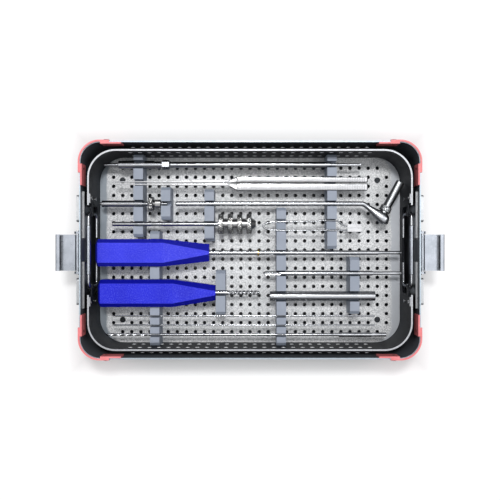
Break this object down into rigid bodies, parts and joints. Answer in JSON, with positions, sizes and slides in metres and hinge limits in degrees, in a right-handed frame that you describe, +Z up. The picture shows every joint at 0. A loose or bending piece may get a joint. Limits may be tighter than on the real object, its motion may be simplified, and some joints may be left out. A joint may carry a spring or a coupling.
{
  "type": "instrument tray",
  "caption": "Perforated case with end latches and a lift-out tray that holds drivers, forceps, drills, wires and guides in notched silicone bars.",
  "frame": {"origin": "under the middle of the case, on the face that it stands on, midway between the latches", "axes": "+X along the tray's length, from the blue handles' ends to their blades; +Y across it, towards the depth gauge; +Z up, out of the case's mouth"},
  "size_m": [0.363, 0.2046, 0.0632],
  "materials": {
    "dark_anodised": "dark anodised aluminium sheet with bare cut edges, satin",
    "guard_plastic": "salmon red, soft satin",
    "bar_silicone": "blue-grey silicone, matte",
    "blasted_plate": "light bead-blasted, fine grain",
    "strip_aluminium": "satin",
    "handle_blue": "deep blue, satin gloss",
    "ring_brass": "gold coloured",
    "polished_steel": "polished",
    "tool_steel": "finely turned, satin bright"
  },
  "bodies": {
    "case": {"case_shell": "dark_anodised", "corner_guard_front_left": "guard_plastic", "corner_guard_front_right": "guard_plastic", "corner_guard_back_left": "guard_plastic", "corner_guard_back_right": "guard_plastic", "guard_screws": "guard_plastic", "guide_strips": "strip_aluminium", "end_wall_pads": "strip_aluminium", "strip_rivets": "strip_aluminium", "bracket_rivets": "strip_aluminium", "latch_bracket_left": "tool_steel", "latch_bracket_right": "tool_steel", "latch_pin_left": "tool_steel", "latch_pin_right": "tool_steel"},
    "latch_left": {"latch_plate_left": "tool_steel"},
    "latch_right": {"latch_plate_right": "tool_steel"},
    "tray": {"tray_body": "dark_anodised", "tray_flange": "dark_anodised", "base_plate": "blasted_plate", "plate_screws": "polished_steel", "tray_feet": "strip_aluminium", "eye_rivets": "strip_aluminium", "handle_eyes_left": "dark_anodised", "handle_eyes_right": "dark_anodised", "holder_bar_1": "bar_silicone", "holder_bar_2": "bar_silicone", "holder_bar_3": "bar_silicone", "holder_bar_4": "bar_silicone", "holder_bar_5": "bar_silicone", "holder_bar_6": "bar_silicone", "holder_bar_7": "bar_silicone", "holder_bar_8": "bar_silicone"},
    "handle_left": {"wire_handle_left": "polished_steel", "handle_grip_left": "polished_steel"},
    "handle_right": {"wire_handle_right": "polished_steel", "handle_grip_right": "polished_steel"},
    "depth_gauge": {"depth_gauge_sleeve": "tool_steel"},
    "depth_probe": {"depth_gauge_probe": "tool_steel"},
    "depth_nut": {"depth_gauge_nut": "tool_steel"},
    "forceps": {"forceps_inner_leg": "polished_steel"},
    "forceps_spring_leg": {"forceps_outer_leg": "polished_steel"},
    "coupling": {"coupling_shaft": "tool_steel"},
    "coupling_slide": {"coupling_sleeve": "tool_steel"},
    "drill_guide": {"drill_guide_arm": "tool_steel", "drill_guide_tube": "tool_steel"},
    "ribbed_tool": {"ribbed_handle": "tool_steel", "ribbed_shaft": "tool_steel"},
    "screw_clip": {"screw_clip_wire": "tool_steel", "screw_clip_jaws": "tool_steel"},
    "driver_1": {"driver_1_handle": "handle_blue", "driver_1_shaft": "tool_steel", "driver_1_ring": "ring_brass"},
    "tap": {"tap": "tool_steel"},
    "driver_2": {"driver_2_handle": "handle_blue", "driver_2_shaft": "tool_steel"},
    "tissue_sleeve": {"tissue_sleeve": "tool_steel"},
    "pin_wire_1": {"pin_wire_1": "tool_steel"},
    "pin_wire_2": {"pin_wire_2": "tool_steel"},
    "drill_bit": {"drill_bit": "tool_steel"}
  },
  "joints": [
    {"name": "latch_left_hinge", "type": "hinge", "parent": "case", "child": "latch_left", "pos_m": [-0.1615, -0.0025, 0.047], "axis": [0, 1, 0], "range_deg": [-90, 90]},
    {"name": "latch_right_hinge", "type": "hinge", "parent": "case", "child": "latch_right", "pos_m": [0.1615, -0.0025, 0.047], "axis": [0, -1, 0], "range_deg": [-90, 90]},
    {"name": "tray_lift", "type": "slide", "parent": "case", "child": "tray", "axis": [0, 0, 1], "range_m": [0, 0.07]},
    {"name": "handle_left_pull", "type": "slide", "parent": "tray", "child": "handle_left", "axis": [0, 0, 1], "range_m": [0, 0.015]},
    {"name": "handle_right_pull", "type": "slide", "parent": "tray", "child": "handle_right", "axis": [0, 0, 1], "range_m": [0, 0.015]},
    {"name": "depth_gauge_lift", "type": "slide", "parent": "tray", "child": "depth_gauge", "axis": [0, 0, 1], "range_m": [0, 0.06]},
    {"name": "forceps_lift", "type": "slide", "parent": "tray", "child": "forceps", "axis": [0, 0, 1], "range_m": [0, 0.06]},
    {"name": "coupling_lift", "type": "slide", "parent": "tray", "child": "coupling", "axis": [0, 0, 1], "range_m": [0, 0.06]},
    {"name": "drill_guide_lift", "type": "slide", "parent": "tray", "child": "drill_guide", "axis": [0, 0, 1], "range_m": [0, 0.06]},
    {"name": "ribbed_tool_lift", "type": "slide", "parent": "tray", "child": "ribbed_tool", "axis": [0, 0, 1], "range_m": [0, 0.06]},
    {"name": "screw_clip_lift", "type": "slide", "parent": "tray", "child": "screw_clip", "axis": [0, 0, 1], "range_m": [0, 0.06]},
    {"name": "driver_1_lift", "type": "slide", "parent": "tray", "child": "driver_1", "axis": [0, 0, 1], "range_m": [0, 0.06]},
    {"name": "tap_lift", "type": "slide", "parent": "tray", "child": "tap", "axis": [0, 0, 1], "range_m": [0, 0.06]},
    {"name": "driver_2_lift", "type": "slide", "parent": "tray", "child": "driver_2", "axis": [0, 0, 1], "range_m": [0, 0.06]},
    {"name": "tissue_sleeve_lift", "type": "slide", "parent": "tray", "child": "tissue_sleeve", "axis": [0, 0, 1], "range_m": [0, 0.06]},
    {"name": "pin_wire_1_lift", "type": "slide", "parent": "tray", "child": "pin_wire_1", "axis": [0, 0, 1], "range_m": [0, 0.06]},
    {"name": "pin_wire_2_lift", "type": "slide", "parent": "tray", "child": "pin_wire_2", "axis": [0, 0, 1], "range_m": [0, 0.06]},
    {"name": "drill_bit_lift", "type": "slide", "parent": "tray", "child": "drill_bit", "axis": [0, 0, 1], "range_m": [0, 0.06]},
    {"name": "depth_probe_push", "type": "slide", "parent": "depth_gauge", "child": "depth_probe", "axis": [1, 0, 0], "range_m": [0, 0.012]},
    {"name": "depth_nut_turn", "type": "hinge", "parent": "depth_gauge", "child": "depth_nut", "pos_m": [-0.0808, 0.0818, 0.032], "axis": [1, 0, 0], "continuous": true},
    {"name": "forceps_squeeze", "type": "hinge", "parent": "forceps", "child": "forceps_spring_leg", "pos_m": [0.1126, 0.06425, 0.032], "axis": [0, 0, 1], "range_deg": [0, 0.2], "stiffness_Nm_per_rad": 10},
    {"name": "coupling_pull_back", "type": "slide", "parent": "coupling", "child": "coupling_slide", "axis": [-1, 0, 0], "range_m": [0, 0.003], "stiffness_N_per_m": 300}
  ]
}
